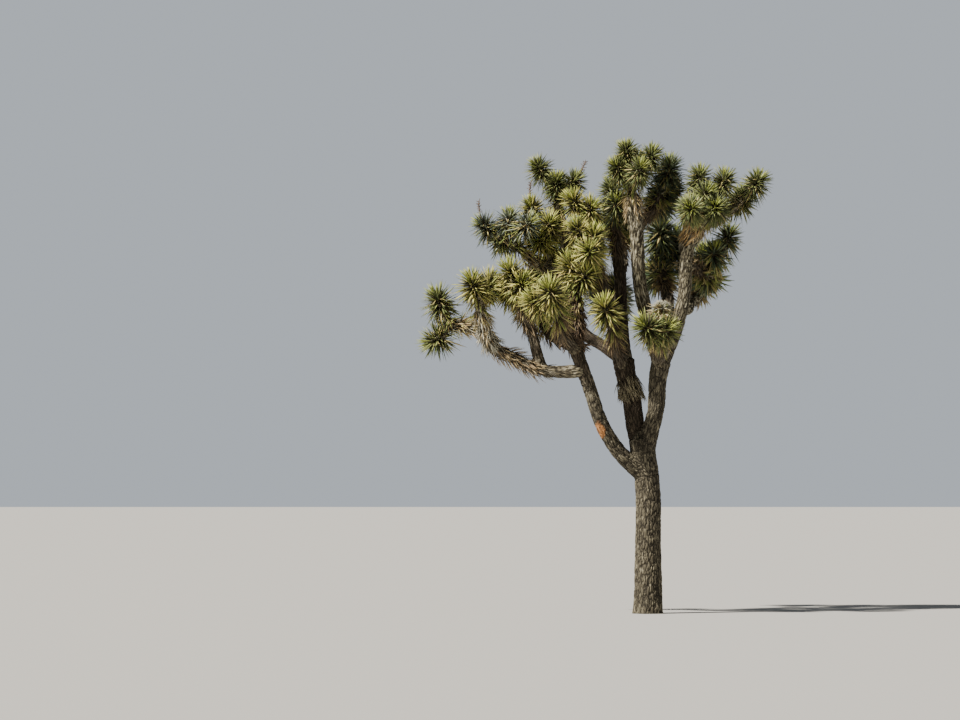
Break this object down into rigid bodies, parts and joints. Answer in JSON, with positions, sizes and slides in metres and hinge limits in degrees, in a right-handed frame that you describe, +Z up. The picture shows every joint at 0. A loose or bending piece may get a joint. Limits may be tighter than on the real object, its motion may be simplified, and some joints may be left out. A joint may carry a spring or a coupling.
{
  "type": "joshua tree",
  "caption": "Mature joshua tree: a straight trunk forks into long bare boughs that end in round heads of stiff dagger leaves.",
  "frame": {"origin": "the middle of the trunk's flat cut at ground level", "axes": "+Z is up along the trunk, +X is the right of the pictured side, +Y points away from that side"},
  "size_m": [4.8762, 3.295, 6.4351],
  "materials": {
    "bark": "rough",
    "leaves": "waxy"
  },
  "bodies": {
    "root": {"bough_east": "bark", "bough_middle": "bark", "bough_west": "bark", "centre_dark": "bark", "centre_front": "bark", "centre_lit": "bark", "east": "bark", "east_end": "bark", "east_front": "bark", "east_inner": "bark", "east_outer": "bark", "east_rear": "bark", "east_shaded": "bark", "leaves_centre_dark": "leaves", "leaves_centre_front": "leaves", "leaves_centre_lit": "leaves", "leaves_east_end": "leaves", "leaves_east_front": "leaves", "leaves_east_inner": "leaves", "leaves_east_outer": "leaves", "leaves_east_rear": "leaves", "leaves_east_shaded": "leaves", "leaves_northwest_far": "leaves", "leaves_northwest_front": "leaves", "leaves_northwest_rise": "leaves", "leaves_northwest_tall": "leaves", "leaves_rear_east": "leaves", "leaves_rear_high": "leaves", "leaves_rear_low": "leaves", "leaves_rear_middle": "leaves", "leaves_rear_west": "leaves", "leaves_top": "leaves", "leaves_top_shaded": "leaves", "leaves_west_end": "leaves", "leaves_west_front": "leaves", "leaves_west_mid": "leaves", "leaves_west_rise": "leaves", "leaves_west_shaded": "leaves", "leaves_west_upright": "leaves", "northwest": "bark", "northwest_far": "bark", "northwest_front": "bark", "northwest_rise": "bark", "northwest_tall": "bark", "rear_east": "bark", "rear_high": "bark", "rear_low": "bark", "rear_middle": "bark", "rear_west": "bark", "top": "bark", "top_shaded": "bark", "trunk": "bark", "west_end": "bark", "west_front": "bark", "west_low": "bark", "west_mid": "bark", "west_rise": "bark", "west_shaded": "bark", "west_upright": "bark"}
  },
  "joints": []
}
